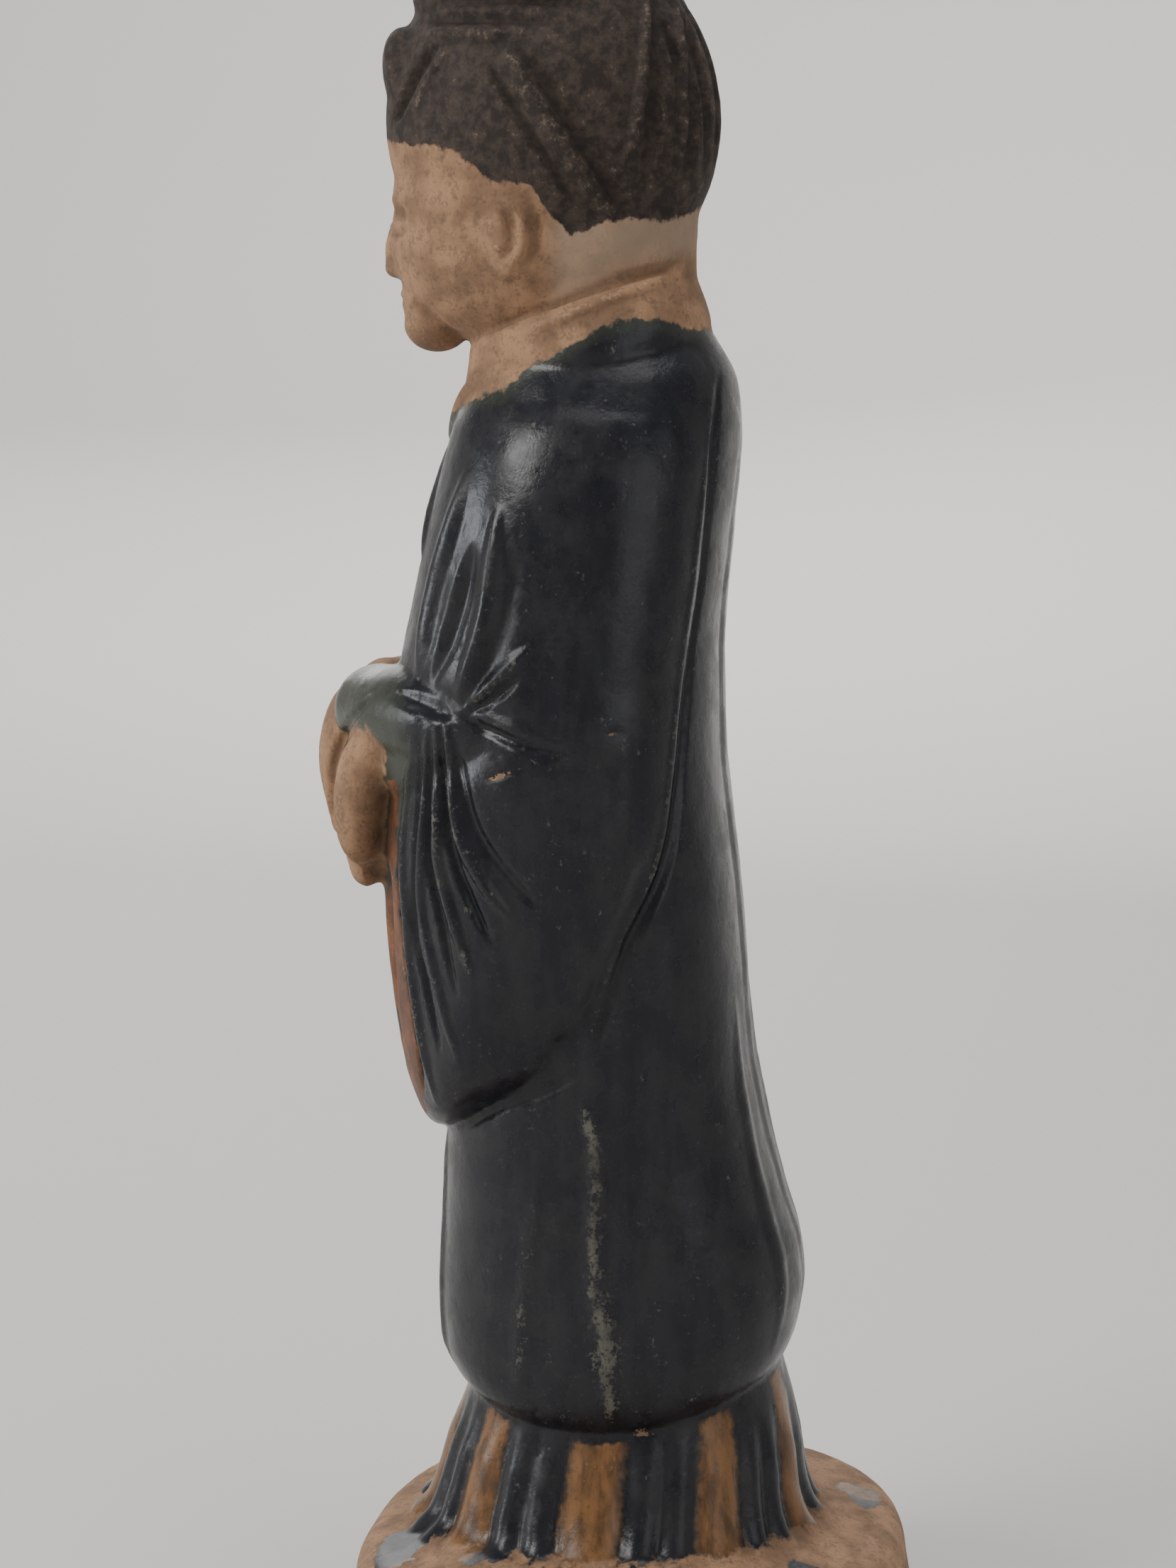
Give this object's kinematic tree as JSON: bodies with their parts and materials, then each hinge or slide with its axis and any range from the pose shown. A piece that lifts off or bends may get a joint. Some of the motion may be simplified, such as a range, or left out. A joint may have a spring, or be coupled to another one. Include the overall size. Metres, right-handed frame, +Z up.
{
  "type": "tomb figure",
  "caption": "Standing tomb attendant in glazed earthenware, hands joined before the chest, long sleeved robe over a striped pleated skirt, on a low plinth.",
  "frame": {"origin": "centre of the plinth's underside", "axes": "+Z up along the standing figure, -Y the way it faces, +X its left side"},
  "size_m": [0.112, 0.1042, 0.2952],
  "materials": {
    "glazed_earthenware": "dark lead glaze over buff fired clay"
  },
  "bodies": {
    "root": {"tomb_figure": "glazed_earthenware"}
  },
  "joints": []
}
